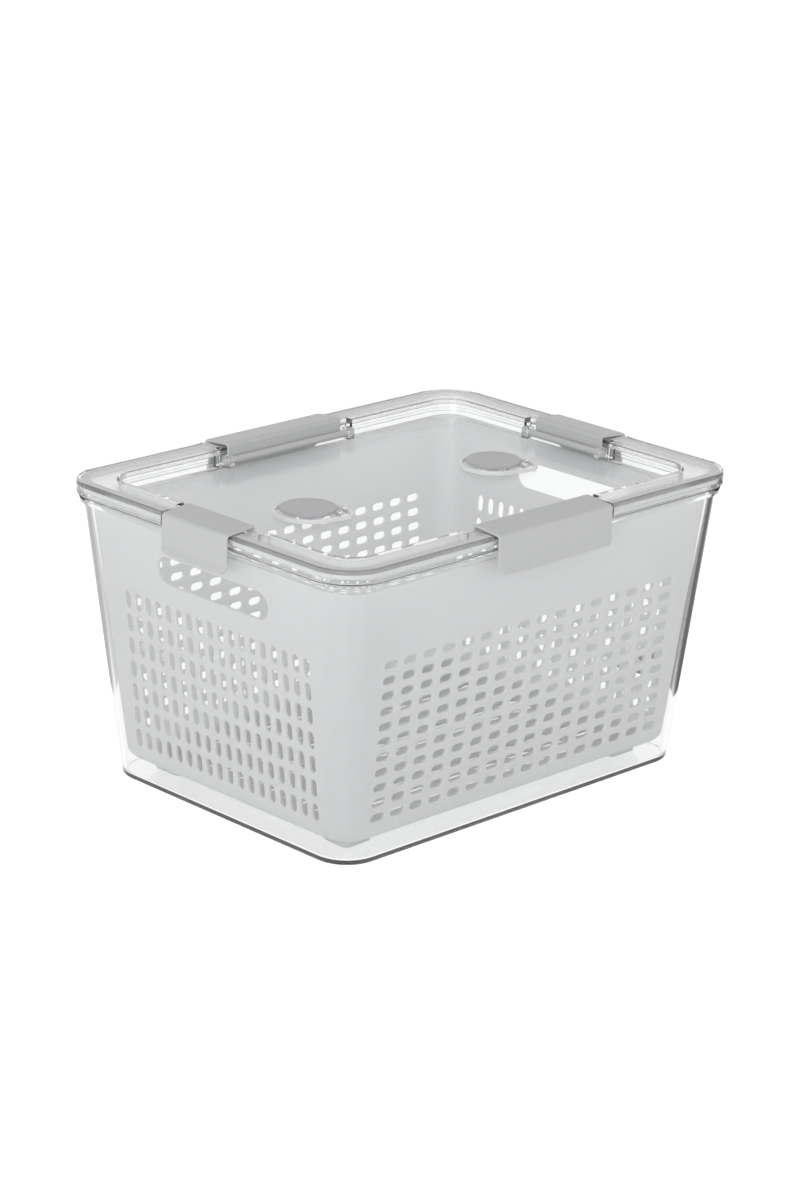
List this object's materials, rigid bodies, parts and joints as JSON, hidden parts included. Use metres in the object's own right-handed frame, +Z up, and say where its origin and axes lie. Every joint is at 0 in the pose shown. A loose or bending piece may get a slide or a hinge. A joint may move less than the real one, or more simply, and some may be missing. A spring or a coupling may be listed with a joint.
{
  "type": "potato storage bin",
  "caption": "Clear tapered storage bin with a slotted lift-out basket and a sunk clear lid held by hinged side clips, with flip-up vent caps.",
  "frame": {"origin": "centre of the rectangle round the whole bin, on the surface that the tub stands on", "axes": "+X along the long side, +Y along the short side towards the back, +Z up"},
  "size_m": [0.3292, 0.2572, 0.1854],
  "materials": {
    "clear_plastic": "clear, glossy",
    "basket_plastic": "satin",
    "clip_plastic": "satin",
    "cap_plastic": "satin",
    "silicone": "matt, translucent"
  },
  "bodies": {
    "container": {"container": "clear_plastic"},
    "basket": {"basket": "basket_plastic"},
    "lid": {"lid": "clear_plastic", "lid_seal": "silicone"},
    "clip_front": {"clip_front": "clip_plastic"},
    "clip_back": {"clip_back": "clip_plastic"},
    "clip_left": {"clip_left": "clip_plastic"},
    "clip_right": {"clip_right": "clip_plastic"},
    "vent_cap_left": {"vent_cap_left": "cap_plastic", "vent_seal_left": "silicone"},
    "vent_cap_right": {"vent_cap_right": "cap_plastic", "vent_seal_right": "silicone"}
  },
  "joints": [
    {"name": "basket_lift", "type": "slide", "parent": "container", "child": "basket", "axis": [0, 0, 1], "range_m": [0, 0.18]},
    {"name": "lid_lift", "type": "slide", "parent": "basket", "child": "lid", "axis": [0, 0, 1], "range_m": [0, 0.15]},
    {"name": "clip_front_hinge", "type": "hinge", "parent": "lid", "child": "clip_front", "pos_m": [0, -0.10064, 0.1758], "axis": [-1, 0, 0], "range_deg": [0, 110]},
    {"name": "clip_back_hinge", "type": "hinge", "parent": "lid", "child": "clip_back", "pos_m": [0, 0.10064, 0.1758], "axis": [1, 0, 0], "range_deg": [0, 110]},
    {"name": "clip_left_hinge", "type": "hinge", "parent": "lid", "child": "clip_left", "pos_m": [-0.13664, 0, 0.1758], "axis": [0, 1, 0], "range_deg": [0, 110]},
    {"name": "clip_right_hinge", "type": "hinge", "parent": "lid", "child": "clip_right", "pos_m": [0.13664, 0, 0.1758], "axis": [0, -1, 0], "range_deg": [0, 110]},
    {"name": "vent_cap_left_hinge", "type": "hinge", "parent": "lid", "child": "vent_cap_left", "pos_m": [-0.06426, -0.01605, 0.1748], "axis": [0.8192, 0.5736, 0], "range_deg": [0, 100]},
    {"name": "vent_cap_right_hinge", "type": "hinge", "parent": "lid", "child": "vent_cap_right", "pos_m": [0.08674, -0.01605, 0.1748], "axis": [0.8192, 0.5736, 0], "range_deg": [0, 100]}
  ]
}
